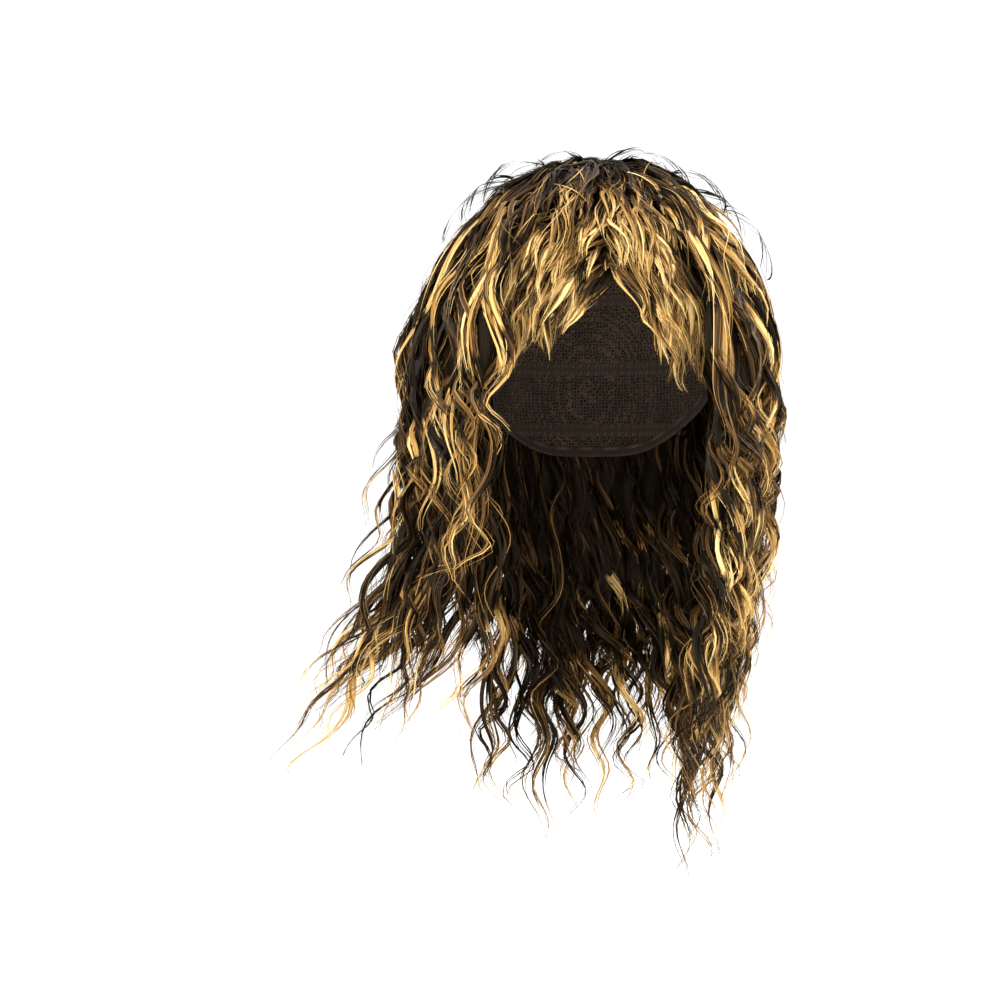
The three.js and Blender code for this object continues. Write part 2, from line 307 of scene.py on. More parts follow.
# Each weft: its solid, material slot, polar angle, first and last azimuth, layer, hair length that it is
# cut from, shares of it at its first and last lock, the least share in its layered cut, sweeps, locks,
# ribbons a lock, and share of gold
WEFT_COLUMNS = ("node", "slot", "polar", "start", "end", "layer", "cut", "first", "last", "least",
                "sweep_first", "sweep_last", "locks", "ribbons", "gold")
WEFT_ROWS = (
    ("nape_weft", "hair_dark", 104, 124, 236, 0, "long", 0.92, 0.85, 0.50, 0, 0, 54, 6, 0.45),
    ("low_back_weft", "hair_dark", 82, 121, 239, 1, "long", 1.00, 0.93, 0.40, 0, 0, 54, 5, 0.48),
    ("high_back_weft", "hair_brown", 56, 121, 239, 2, "long", 1.02, 0.96, 0.35, 0, 0, 60, 5, 0.52),
    ("left_low_side_weft", "hair_dark", 80, 47, 112, 1, "long", 1.04, 0.98, 0.35, 0, 0, 38, 5, 0.52),
    ("left_high_side_weft", "hair_brown", 54, 47, 112, 2, "long", 1.05, 0.98, 0.25, 0, 0, 46, 6, 0.74),
    ("right_low_side_weft", "hair_dark", 80, -112, -47, 1, "long", 0.80, 0.84, 0.45, 0, 0, 42, 5, 0.34),
    ("right_high_side_weft", "hair_brown", 54, -112, -47, 2, "long", 0.86, 0.92, 0.30, 0, 0, 50, 6, 0.38),
    ("right_low_fringe_weft", "hair_gold", 48, -40, 9, 0, "short", 0.76, 0.48, 0.6, -6, -30, 34, 7, 0.84),
    ("left_low_fringe_weft", "hair_gold", 48, 15, 40, 0, "short", 0.62, 0.84, 0.6, 14, 6, 21, 7, 0.86),
    ("right_high_fringe_weft", "hair_gold", 38, -36, 10, 1, "short", 0.90, 0.60, 0.5, -12, -34, 38, 7, 0.82),
    ("left_high_fringe_weft", "hair_gold", 38, 12, 36, 1, "short", 0.72, 0.98, 0.5, 14, 8, 23, 7, 0.86),
    ("right_front_crown_weft", "hair_gold", 27, -38, 14, 2, "short", 1.06, 0.70, 0.4, -14, -32, 48, 7, 0.76),
    ("left_front_crown_weft", "hair_gold", 27, 6, 38, 2, "short", 0.70, 1.12, 0.4, 2, 8, 34, 7, 0.78),
    ("crown_weft", "hair_brown", 30, 36, 324, 3, "long", 0.86, 0.76, 0.18, 2, -2, 170, 5, 0.46),
    ("whorl_weft", "hair_brown", 7, 0, 360, 4, "short", 1.02, 1.02, 0.50, -8, -8, 200, 6, 0.42),
)
WEFTS = [dict(zip(WEFT_COLUMNS, row)) for row in WEFT_ROWS]


def mix(a, b, share):
    return a + (b - a) * share


def smooth(share):
    share = np.clip(share, 0, 1)
    return share * share * (3 - 2 * share)


def risen(value, start, reach):
    """0 up to a start, 1 from a reach beyond it, and a smooth rise between."""
    return smooth((value - start) / reach)


def any_phase(rng):
    """Where a wave starts, different each time."""
    return rng.uniform(0, 6)


def unit(vectors):
    return vectors / np.maximum(np.linalg.norm(vectors, axis=-1, keepdims=True), 1e-9)


def over_head(azimuth, polar, lift, drop=0.0):
    """Points at a lift over the head. Below its widest level hair hangs by drop."""
    side = np.sin(np.radians(azimuth))
    side_share = np.abs(side) ** 3
    fuller = smooth((polar - FULLNESS_START) / (90 - FULLNESS_START)) * side_share * (side < 0)
    full = lift + RIGHT_FULLNESS * fuller * np.maximum(0, lift - ROOT_LIFT)
    out = full * mix(CROWN_LIFT_SHARE, 1, np.abs(np.sin(np.radians(np.minimum(polar, 90)))))
    ring = np.sin(np.radians(polar))
    fall = smooth((drop - SPREAD_START) / (SPREAD_DEPTH - SPREAD_START))
    turned = np.radians(azimuth + LEFT_TURN * np.maximum(0, side) * fall)
    wider = np.where(side < 0, RIGHT_SPREAD, LEFT_SPREAD) * side_share * fall
    height = np.cos(np.radians(polar))
    x = (HALF_WIDTH + out + wider) * ring * np.sin(turned)
    y = -(HALF_DEPTH + out) * ring * np.cos(turned)
    z = CROWN_HEIGHT * (height - 1) + out * np.maximum(0, height) - drop
    return np.stack(np.broadcast_arrays(x, y, z), axis=-1)


def quarter_arc(azimuth):
    """Length along the head from the crown to its widest level."""
    turned = np.radians(azimuth)
    radius = np.hypot(HALF_WIDTH * np.sin(turned), HALF_DEPTH * np.cos(turned))
    root = np.sqrt((3 * radius + CROWN_HEIGHT) * (radius + 3 * CROWN_HEIGHT))
    return math.pi / 4 * (3 * (radius + CROWN_HEIGHT) - root)


def is_whorl(weft):
    return weft["end"] - weft["start"] >= 360


def forehead_sink(azimuth):
    """How far the whorl's hair lies down over the forehead, where there is one layer less below it."""
    turn = np.abs((azimuth + 180) % 360 - 180)
    return FOREHEAD_SINK * smooth((FOREHEAD_TURNS[0] - turn) / (FOREHEAD_TURNS[0] - FOREHEAD_TURNS[1]))


def end_fan(root, place):
    """How far the last locks of a weft behind the ears turn outwards, so that they meet the next weft's."""
    behind = abs((root + 180) % 360 - 180) > FAN_AZIMUTH
    return END_FAN * behind * (risen(place, FAN_START, FAN_REACH) - smooth((FAN_REACH - place) / FAN_REACH))


def layer_lift(weft):
    return FIRST_LIFT + weft["layer"] * LAYER_PITCH


def course(weft, polar, azimuth, along, lift):
    """Polar angle, lift and drop of hair that has run a length along its weft's layer."""
    arc = quarter_arc(azimuth)
    hang = np.maximum(90, polar)
    turned = np.minimum(hang, polar + along / arc * 90)
    drop = np.maximum(0, along - (hang - polar) / 90 * arc)
    rise = WHORL_RISE if is_whorl(weft) else RISE_LENGTH
    return turned, mix(ROOT_LIFT, lift, smooth(along / rise)), drop


class Sheets:
    """Collects sheets of quads, each point with its tone and streak, into one mesh."""

    def __init__(self):
        self.points, self.faces, self.coords = [], [], []
        self.count = 0

    def add(self, grid, tone, streak):
        """grid holds the points of sheets by rows by columns; tone and streak have that shape too."""
        sheets, rows, columns = grid.shape[:3]
        index = self.count + np.arange(sheets * rows * columns).reshape(sheets, rows, columns)
        corners = (index[:, :-1, :-1], index[:, :-1, 1:], index[:, 1:, 1:], index[:, 1:, :-1])
        coords = np.stack(np.broadcast_arrays(tone, streak, np.zeros(index.shape))[:2], axis=-1)
        self.points.append(grid.reshape(-1, 3))
        self.faces.append(np.stack(corners, axis=-1).reshape(-1, 4))
        self.coords.append(coords.reshape(-1, 2))
        self.count += index.size

    def mesh(self, name):
        points = np.concatenate(self.points)
        corners = np.concatenate(self.faces).reshape(-1)
        uv = np.concatenate(self.coords)[corners]
        mesh = bpy.data.meshes.new(name)
        mesh.vertices.add(len(points))
        mesh.vertices.foreach_set("co", points.astype(np.float32).ravel())
        mesh.loops.add(len(corners))
        mesh.loops.foreach_set("vertex_index", corners.astype(np.int32))
        mesh.polygons.add(len(corners) // 4)
        mesh.polygons.foreach_set("loop_start", np.arange(0, len(corners), 4, dtype=np.int32))
        mesh.polygons.foreach_set("use_smooth", np.ones(len(corners) // 4, dtype=bool))
        layer = mesh.uv_layers.new(name="OFBake")
        layer.data.foreach_set("uv", uv.astype(np.float32).ravel())
        mesh.update(calc_edges=True)
        mesh.validate()
        return mesh


def stand_off(weft, root, to_right, drop, rng):
    """How far a lock stands off the hair below it on its way down. Only a few loose locks do."""
    turn = abs((root + 180) % 360 - 180)
    may = weft["layer"] >= UPPER_LAYER and turn > LOOSE_LOCK_TURN and not 0 < root < LEFT_SIDE_END
    side = to_right > RIGHT_SIDE_SHARE
    if rng.uniform(0, 1) >= LOOSE_LOCK_SHARE[side] * may:
        return 0 * drop
    off = LOOSE_LOCK_LIFT[side] * rng.uniform(0.4, 1) * smooth(drop / LOOSE_LOCK_DROP)
    return off * mix(1, LOOSE_TIP_SHARE, smooth(drop / LOOSE_LOCK_DROP - LOOSE_TIP_START))


def lock_path(weft, place, rank, rng):
    """A lock's middle line from root to tip, with the directions across it and outwards. Its rank is 0
    for the shortest and topmost locks of a layered cut and 1 for the longest."""
    root = mix(weft["start"], weft["end"], place)
    share = mix(weft["least"], 1, rank)
    length = share * mix(weft["first"], weft["last"], place) * HAIR_LENGTH[weft["cut"]]
    sweep = share * mix(weft["sweep_first"], weft["sweep_last"], place) + rng.normal(0, SWEEP_SPREAD)
    if weft["cut"] == "long" and weft["layer"] < CROWN_LAYER:
        sweep = sweep + end_fan(root, place)
    early = rng.uniform(*ROOT_RANGE.get(weft["node"], USUAL_ROOT_RANGE))
    length = length - early / 90 * quarter_arc(root) * (not is_whorl(weft))
    rise = mix(*RANK_RISE, rank) + rng.uniform(-RISE_SPREAD, RISE_SPREAD)
    lift = layer_lift(weft) + rise * LAYER_PITCH
    if is_whorl(weft):
        lift = lift - max(forehead_sink(root), WHORL_SINK * rng.uniform(0, 1) ** 2)
    along = np.linspace(0, length, max(LEAST_STEPS, round(length / LOCK_STEP[weft["cut"]])))
    lift = lift - TIP_SINK * smooth(along / length) * (weft["cut"] == "short")
    turned, lift, drop = course(weft, weft["polar"] + early, root, along, lift)
    wander = rng.normal(0, WANDER) * np.sin(along / WANDER_LENGTH + any_phase(rng))
    azimuth = root + sweep * smooth(along / length) + wander * smooth(along / WANDER_START)
    line = over_head(azimuth, turned, lift, drop)
    outward = unit(over_head(azimuth, turned, lift + OUTWARD_STEP, drop) - line)
    across = unit(np.cross(outward, np.gradient(line, axis=0)))

    # The tips of hanging locks flick outwards, most of all on the right side
    to_right = max(0, -math.sin(math.radians(root))) ** 2
    flick = RIGHT_FLICK * to_right * rank * rng.uniform(0, FLICK_MOST) + rng.normal(0, FLICK_SPREAD)
    flick = flick * (drop[-1] > 0)
    tip = risen(along / length, FLICK_START, FLICK_REACH)[:, None]
    line = line + (outward * flick + np.array([0, 0, FLICK_RISE * max(0, flick)])) * tip
    line = line + outward * stand_off(weft, root, to_right, drop, rng)[:, None]
    below_crown = (weft["polar"] + early) / 90 * quarter_arc(root)
    return {"line": line, "across": across, "outward": outward, "along": along, "root": root,
            "below_crown": below_crown}


def sampled(values, places):
    """Values of a path at fractional steps, one row of places for each ribbon."""
    low = np.minimum(places.astype(int), len(values) - 2)
    share = (places - low)[..., None]
    return mix(values[low], values[low + 1], share)


def lock_wave(weft, path, rng):
    """The phase and strength of a lock's waves along it, each lock with its own irregular rhythm."""
    along = path["along"]
    long_wave, short_wave = WAVE_LENGTH[weft["cut"]]
    wave = mix(long_wave, short_wave, smooth(along / WAVE_TIGHTENING)) * rng.uniform(*WAVE_STRETCH)
    turned = math.radians(path["root"])
    shared = sum(size * math.sin(turns * turned + start) for size, turns, start in SHARED_PHASE)
    shared = shared + 2 * math.pi * path["below_crown"] / long_wave
    beat = shared + rng.normal(0, PHASE_SPREAD[weft["cut"]]) + np.cumsum(2 * math.pi / wave) * along[1]
    for uneven in [size * np.sin(beat / stretch + any_phase(rng)) for size, stretch in UNEVEN_BEAT]:
        beat = beat + uneven
    strength = mix(CROWN_WAVE_SHARE, 1, smooth(along / WAVE_GROWTH))
    strength = strength * smooth(ROOT_WAVE_SHARE + along / ROOT_WAVE_GROWTH) * rng.uniform(*WAVE_STRENGTHS)
    strength = strength * (1 + WAVE_UNEVENNESS * np.sin(along / UNEVEN_LENGTH + any_phase(rng)))
    return np.stack([beat, strength], axis=-1)


def lock_tones(weft, root, length, rng):
    """A lock's dark and light tones, and where along it the light one starts and repeats in patches, which
    are partly gold streaks and partly painted highlight.
    """
    share = weft["gold"]
    runs_round = weft["end"] - weft["start"] > 180
    if runs_round:
        share = share * mix(*ROUND_GOLD, 0.5 + 0.5 * math.cos(math.radians(root - GOLD_AZIMUTH)))
    if weft["layer"] < CROWN_LAYER:
        darker = MIDDLE_DARKENING * risen(length, MIDDLE_START, MIDDLE_FADE_IN)
        share = share * (1 - darker * smooth((MIDDLE_END - length) / MIDDLE_FADE_OUT))
    chance, place = rng.uniform(0, 1, 2)
    if chance < share:
        light = mix(*GOLD_TONES, place)
    elif chance < mix(share, 1, CARAMEL_SHARE):
        light = mix(*CARAMEL_TONES, place)
    else:
        light = mix(*DARK_TONES, place)
    short = weft["cut"] == "short"
    at_temple = smooth(1.5 - abs(root - TEMPLE_TURN) / TEMPLE_REACH)
    tip = rng.uniform(*LIGHT_TIP[weft["cut"]])
    dark_root = rng.uniform(*(WHORL_DARK_ROOT if is_whorl(weft) else DARK_ROOT))
    return {"dark": rng.uniform(*ROOT_TONES), "light": light, "start": max(length - tip, dark_root),
            "patch": rng.uniform(*PATCH_LENGTH), "phase": any_phase(rng),
            "patchy": rng.uniform(0, SHORT_PATCHES) if short else max(rng.uniform(0, 1) ** 2, at_temple)}


def ribbon_tone(tones, along, share, beat, spread, rng):
    """Tone along each ribbon of a lock: dark at its root, light at its tip and in patches on its way that
    are partly gold streaks and partly painted highlight, with painted shade and highlight along its waves.
    """
    count = len(along)
    own = along + rng.normal(0, TONE_STAGGER, (count, 1))
    tipped = risen(own, tones["start"], TIP_FADE)
    # Light patches: partly the hair's gold streaks, partly painted highlight where the waves catch light
    patch = np.sin(2 * math.pi * own / tones["patch"] + tones["phase"])
    patch = tones["patchy"] * risen(patch, PATCH_LEVEL, PATCH_SOFTNESS)
    patch = patch * risen(own, PATCH_START, PATCH_FADE)
    tone = mix(tones["dark"], tones["light"], np.maximum(tipped, patch))
    # Painted shade and highlight: the tone rises and falls with each ribbon's waves
    tone = tone + WAVE_PAINTED_LIGHT * np.sin(beat) + rng.normal(0, spread, (count, 1))
    against = rng.uniform(0, 1, (count, 1)) < AGAINST_SHARE
    tone = np.where(against, mix(tone, 0.6 - 0.3 * tone, 0.6), tone)
    return np.clip(tone + 0.01 * share, *TONE_LIMITS)


def section_place(half_width, count, loose, taper, beat, rng):
    """How far each ribbon lies across and outwards in the lock's section, and the angle that it faces.
    The section twists with the waves and narrows towards the tip."""
    angle = rng.uniform(0, 2 * math.pi, (count, 1))
    radius = half_width * rng.uniform(*SECTION_REACH, (count, 1)) * loose * taper
    wide = radius * np.cos(angle)
    thick = LOCK_FLATNESS * radius * np.sin(angle)
    twist = rng.uniform(-SECTION_TWIST, SECTION_TWIST) + SECTION_TWIST * np.sin(beat + any_phase(rng))
    turn = twist + np.arctan2(LOCK_FLATNESS * np.cos(angle), -np.sin(angle))
    side = wide * np.cos(twist) - thick * np.sin(twist)
    lift = wide * np.sin(twist) / 2 + thick * np.cos(twist)
    return side, lift, turn


def add_ribbons(sheets, cut, path, wave, tones, count, rng, loose=1.0):
    """Grows one lock's ribbons of fibres along its waves, or its single hairs where they lie loose."""
    half_width, columns = (RIBBON_HALF_WIDTH[cut], 3) if loose == 1 else (HAIR_HALF_WIDTH, 2)
    steps = len(path["along"])
    shorter = 1 - RIBBON_SHORTENING * loose * rng.beta(*SHORTENING_SHAPE, (count, 1))
    places = shorter * np.arange(steps)[None, :]
    line, across, outward = (sampled(path[key], places) for key in ("line", "across", "outward"))
    beat, strength = np.moveaxis(sampled(wave, places), -1, 0)
    along = shorter * path["along"][None, :]
    share = along / path["along"][-1]
    own = rng.normal(0, RIBBON_PHASE_SPREAD, (count, 1)) * loose
    own = own + rng.normal(0, HAIR_PHASE_SPREAD, (count, 1)) * share * (loose > 1)
    parted = np.where(rng.uniform(0, 1, (count, 1)) < 0.5, 1, -1) * rng.uniform(0, TIP_PARTING)
    taper = mix(ROOT_GATHER, 1, smooth(share / GATHER_REACH))
    taper = taper * mix(1, TIP_SHARE[cut], risen(share, TAPER_START, TAPER_REACH))
    side, lift, turn = section_place(LOCK_HALF_WIDTH[cut], count, loose, taper, beat, rng)
    side = side + SIDE_WAVE[cut] * strength * np.sin(beat + own)
    side = side + parted * risen(share, PARTING_START, PARTING_REACH) * taper * 2
    lift = lift + LIFT_WAVE[cut] * strength * np.cos(beat + own + rng.uniform(-0.5, 0.5))
    points = line + across * side[..., None] + outward * lift[..., None]

    # A ribbon is cupped outwards and thins out at its tip
    forward = unit(np.gradient(points, axis=1))
    facing = across * np.cos(turn)[..., None] + outward * np.sin(turn)[..., None]
    facing = unit(facing - forward * np.sum(facing * forward, axis=-1, keepdims=True))
    cup = np.cross(forward, facing)
    cup = cup * np.where(np.sum(cup * outward, axis=-1, keepdims=True) < 0, -1, 1)
    thinned = mix(ROOT_THINNING, 1, smooth(share / THINNING_REACH))
    tip = risen(share / shorter, TIP_THINNING_START, TIP_THINNING_REACH)
    thinned = thinned * mix(1, TIP_THINNING, tip)
    half = (half_width * rng.uniform(*RIBBON_WIDTHS, (count, 1)) * thinned)[..., None]
    places_across = np.linspace(-1, 1, columns)
    grid = np.stack([points + facing * half * x + cup * half * RIBBON_CUP * (1 - x * x) * (columns > 2)
                     for x in places_across], axis=2)
    tone = ribbon_tone(tones, along, share, beat, TONE_SPREAD * loose, rng)[..., None]
    streak = rng.uniform(0.02, 0.98, (count, 1, 1)) + STREAK_REACH * places_across * (columns > 2)
    sheets.add(grid, tone, streak)


def under_sheet(sheets, weft):
    """A dark wavy sheet within a weft's layer, so that no daylight shows between the tops of its locks.
    The whorl's lies low, over the roots of the weft round it."""
    columns = max(SHEET_LEAST_COLUMNS, weft["locks"])
    reach, sink = WHORL_SHEET if is_whorl(weft) else USUAL_SHEET
    place = np.linspace(0, 1, columns)[:, None]
    down = np.linspace(0, 1, SHEET_ROWS)[None, :]
    root = mix(weft["start"], weft["end"], place)
    ragged = 1
    for size, turns in RAGGED_EDGE:
        ragged = ragged + size * np.sin(place * turns)
    along = down * mix(weft["first"], weft["last"], place) * HAIR_LENGTH[weft["cut"]] * reach * ragged
    lift = layer_lift(weft) - sink + 0.001 * np.sin(place * columns * 1.3)
    if is_whorl(weft):
        lift = lift - forehead_sink(root)
    turned, lift, drop = course(weft, weft["polar"], root, along, lift)
    sweep = mix(weft["sweep_first"], weft["sweep_last"], place) * smooth(down * 0.3)
    wave = 2.2 * np.sin(2 * math.pi * along / 0.05 + place * 9) * smooth(along / 0.04)
    grid = over_head(root + sweep + wave, turned, lift, drop)
    tone = 0.01 + 0.05 * down + 0.05 * np.sin(place * 997) ** 2
    sheets.add(grid[None], tone[None], mix(0.02, 0.98, place)[None])


def weft_hair(weft, seed):
    """All the hair of one weft: its under sheet, its locks, and loose hairs beside each lock."""
    rng = np.random.default_rng(seed)
    sheets = Sheets()
    under_sheet(sheets, weft)
    spots = [((index + rng.uniform(0, 1)) / weft["locks"], rng.uniform(0, 1) ** RANK_POWER)
             for index in range(weft["locks"])]
    if weft["node"] == "left_high_fringe_weft":
        spots += PARTING_LOCKS
    for place, rank in spots:
        path = lock_path(weft, place, rank, rng)
        wave = lock_wave(weft, path, rng)
        tones = lock_tones(weft, mix(weft["start"], weft["end"], place), path["along"][-1], rng)
        count = max(3, weft["ribbons"] + rng.integers(-1, 2))
        add_ribbons(sheets, weft["cut"], path, wave, tones, count, rng)
        tones["light"] = mix(tones["light"], LOOSE_HAIR_TONE, rng.uniform(0, 0.55))
        hairs = round(count * HAIRS_PER_RIBBON)
        add_ribbons(sheets, weft["cut"], path, wave, tones, hairs, rng, HAIR_LOOSENESS)
    if is_whorl(weft):
        crown_flyaways(sheets, weft, rng)
    return sheets.mesh(weft["node"].replace("_weft", "_hair"))


def free_hair(sheets, weft, start, end, height, tone, width, rng):
    """One hair or thin ribbon that runs over the top layer in an arch of its own."""
    share = np.linspace(0, 1, FREE_HAIR_STEPS)
    sideways, lengthways = FREE_HAIR_SWAY
    sway = rng.normal(0, sideways) * np.sin(share * math.pi * rng.uniform(1, 2.5))
    azimuth = mix(start[0], end[0], share) + sway
    polar = mix(start[1], end[1], share) + rng.normal(0, lengthways) * np.sin(share * math.pi * 2)
    lift = layer_lift(weft) + FREE_HAIR_LIFT - forehead_sink(azimuth) + height * np.sin(share * math.pi)
    line = over_head(azimuth, polar, lift)
    outward = unit(over_head(azimuth, polar, lift + OUTWARD_STEP) - line)
    facing = unit(np.cross(outward, np.gradient(line, axis=0))) * np.cos(rng.normal(0, 0.6))
    half = facing * (width * (1 - 0.8 * share ** 4))[:, None]
    grid = np.stack([line - half, line + half], axis=1)[None]
    tones = np.clip(tone + 0.12 * np.sin(share * 9 + any_phase(rng)), *TONE_LIMITS)
    sheets.add(grid, tones[None, :, None], np.array([-0.003, 0.003]) + rng.uniform(0.02, 0.98))


def crown_flyaways(sheets, weft, rng):
    """Loops of dark hair that stand off the crown, and fine pale hairs that cross it."""
    for first_turn, first_polar, last_turn, last_polar, height in CROWN_LOOPS:
        for _ in range(HAIRS_PER_LOOP):
            start = [at + rng.normal(0, by) for at, by in zip((first_turn, first_polar), LOOP_START_SPREAD)]
            end = [at + rng.normal(0, by) for at, by in zip((last_turn, last_polar), LOOP_END_SPREAD)]
            width = rng.choice(LOOP_WIDTHS)
            raised = height * rng.uniform(*LOOP_HEIGHTS)
            free_hair(sheets, weft, start, end, raised, LOOP_TONE, width, rng)
    for _ in range(CROWN_STRAYS):
        start = (rng.uniform(-180, 180), rng.uniform(*STRAY_POLARS))
        turn = rng.normal(0, STRAY_TURN) * 20 / (start[1] + 8)
        end = (start[0] + turn, start[1] + rng.uniform(*STRAY_RUNS))
        tone = rng.uniform(*STRAY_TONES)
        free_hair(sheets, weft, start, end, rng.uniform(*STRAY_HEIGHTS), tone, HAIR_HALF_WIDTH, rng)


def node(tree, kind, **settings):
    made = tree.nodes.new(kind)
    for key, value in settings.items():
        setattr(made, key, value)
    return made


def ramp_node(tree, stops):
    ramp = node(tree, "ShaderNodeValToRGB")
    band = ramp.color_ramp.elements
    while len(band) < len(stops):
        band.new(0.5)
    for element, (place, colour) in zip(band, stops):
        element.position = place
        element.color = (*colour, 1)
    return ramp


def range_node(tree, source, low, high, to_low, to_high):
    made = node(tree, "ShaderNodeMapRange")
    for name, value in (("From Min", low), ("From Max", high), ("To Min", to_low), ("To Max", to_high)):
        made.inputs[name].default_value = value
    tree.links.new(source, made.inputs["Value"])
    return made.outputs["Result"]


def new_material(name):
    material = bpy.data.materials.new(name)
    material.use_nodes = True
    return material, material.node_tree, material.node_tree.nodes["Principled BSDF"]


def hair_material(name):
    """Glossy synthetic fibre: the tone runs from near black through caramel to gold, in fine streaks."""
    material, tree, shader = new_material(name)
    uv = node(tree, "ShaderNodeUVMap", uv_map="OFBake")
    split = node(tree, "ShaderNodeSeparateXYZ")
    tree.links.new(uv.outputs["UV"], split.inputs[0])
    stretched = node(tree, "ShaderNodeVectorMath", operation="MULTIPLY")
    stretched.inputs[1].default_value = NOISE_SCALES
    tree.links.new(uv.outputs["UV"], stretched.inputs[0])
    noise = node(tree, "ShaderNodeTexNoise", noise_dimensions="2D")
    noise.inputs["Scale"].default_value = 1.0
    noise.inputs["Detail"].default_value = 3.0
    tree.links.new(stretched.outputs[0], noise.inputs["Vector"])
    tone = node(tree, "ShaderNodeMath", operation="ADD", use_clamp=True)
    tree.links.new(split.outputs["X"], tone.inputs[0])
    shift = range_node(tree, noise.outputs["Fac"], 0.32, 0.68, *NOISE_SHIFT)
    tree.links.new(shift, tone.inputs[1])
    ramp = ramp_node(tree, (
        (0.00, (0.004, 0.003, 0.0015)),
        (0.24, (0.014, 0.008, 0.004)),
        (0.45, (0.120, 0.062, 0.021)),
        (0.65, (0.420, 0.220, 0.060)),
        (0.85, (0.800, 0.500, 0.155)),
        (1.00, (0.920, 0.680, 0.300)),
    ))
    tree.links.new(tone.outputs[0], ramp.inputs["Fac"])
    tree.links.new(ramp.outputs["Color"], shader.inputs["Base Color"])
    rough = range_node(tree, noise.outputs["Fac"], 0.0, 1.0, 0.34, 0.52)
    tree.links.new(rough, shader.inputs["Roughness"])
    add_bump(tree, shader, noise.outputs["Fac"], 0.35, 0.0004)
    shader.inputs["Specular IOR Level"].default_value = 0.13
    shader.inputs["Specular Tint"].default_value = (1.0, 0.80, 0.58, 1)
    return material


def hair_pieces():
    materials = {}
    for seed, weft in enumerate(WEFTS, start=51):
        slot = weft["slot"]
        if slot not in materials:
            materials[slot] = hair_material(slot + "_fibre")
        mesh = weft_hair(weft, seed)
        mesh.materials.append(materials[slot])
        place_piece(mesh, weft["node"])


def edge_polar(azimuth):
    """The cap's edge at any azimuth: a smooth curve through the table's rows."""
    turned = np.abs((azimuth + 180) % 360 - 180)
    azimuths, polars = np.array(CAP_EDGE).T
    slopes = np.zeros(len(polars))
    slopes[1:-1] = (polars[2:] - polars[:-2]) / (azimuths[2:] - azimuths[:-2])
    upper = np.clip(np.searchsorted(azimuths, turned), 1, len(azimuths) - 1)
    lower = upper - 1
    width = azimuths[upper] - azimuths[lower]
    share = (turned - azimuths[lower]) / width
    leaving = slopes[lower] * width * share * (1 - share) ** 2
    arriving = slopes[upper] * width * share ** 2 * (1 - share)
    return mix(polars[lower], polars[upper], smooth(share)) + leaving - arriving


def cap_net():
    """The cap's stretch net, a thin shell over the head. Returns it as sheets of points."""
    sheets = Sheets()
    azimuth = np.linspace(0, 360, CAP_ROUND_STEPS)[:, None]
    polar = edge_polar(azimuth) * np.linspace(0, 1, CAP_DOWN_STEPS)[None, :]
    inner = over_head(azimuth, polar, NET_INNER_LIFT)
    outer = over_head(azimuth, polar, NET_INNER_LIFT + NET_THICKNESS)
    across = azimuth / 360 + 0 * polar
    down = np.linspace(0, 1, CAP_DOWN_STEPS)[None, :] + 0 * polar

    # The inside fills the first half of the map and the outside the second
    sheets.add(inner[None], across[None] * 0.49, down[None])
    sheets.add(outer[None, ::-1], 0.51 + across[None, ::-1] * 0.49, down[None])
    return sheets.mesh("cap_net")


def cap_binding():
    """The elastic binding that is folded round the cap's edge, with a rolled section."""
    sheets = Sheets()
    azimuth = np.linspace(0, 360, BINDING_ROUND_STEPS)[:, None]
    angle = np.linspace(0, 2 * math.pi, BINDING_SECTION_STEPS)[None, :]
    drop = BINDING_HALF_HEIGHT * np.sign(np.cos(angle)) * np.abs(np.cos(angle)) ** BINDING_ROUNDING
    polar = edge_polar(azimuth) - 90 / quarter_arc(azimuth) * (BINDING_HALF_HEIGHT - drop)
    lift = CAP_WALL / 2 + BINDING_HALF_THICKNESS * np.sin(angle)
    grid = over_head(azimuth, polar, lift)
    sheets.add(grid[None], (azimuth / 360 + 0 * angle)[None], (angle / (2 * math.pi) + 0 * azimuth)[None])
    return sheets.mesh("cap_binding")


def cap_tapes():
    """Inside the cap, a woven tape behind each sewn track, held by two rows of slanted stitches."""
    sheets = Sheets()
    for weft in WEFTS:
        steps = max(24, round((weft["end"] - weft["start"]) / 2))
        azimuth = np.linspace(weft["start"], weft["end"], steps)[:, None]
        across = np.linspace(-1, 1, TAPE_COLUMNS)[None, :]
        polar = weft["polar"] + 90 / quarter_arc(azimuth) * TAPE_HALF_HEIGHT * across
        polar = np.minimum(polar, edge_polar(azimuth) - TAPE_EDGE_MARGIN)
        lift = TAPE_LIFT - TAPE_CROWNING * (1 - across ** 2)
        grid = over_head(azimuth, polar, lift)
        tone = 0.10 + 0.85 * (azimuth - weft["start"]) / (weft["end"] - weft["start"]) + 0 * across
        sheets.add(grid[None], tone[None], (0.5 + 0.45 * across + 0 * azimuth)[None])
    return sheets.mesh("cap_tapes")


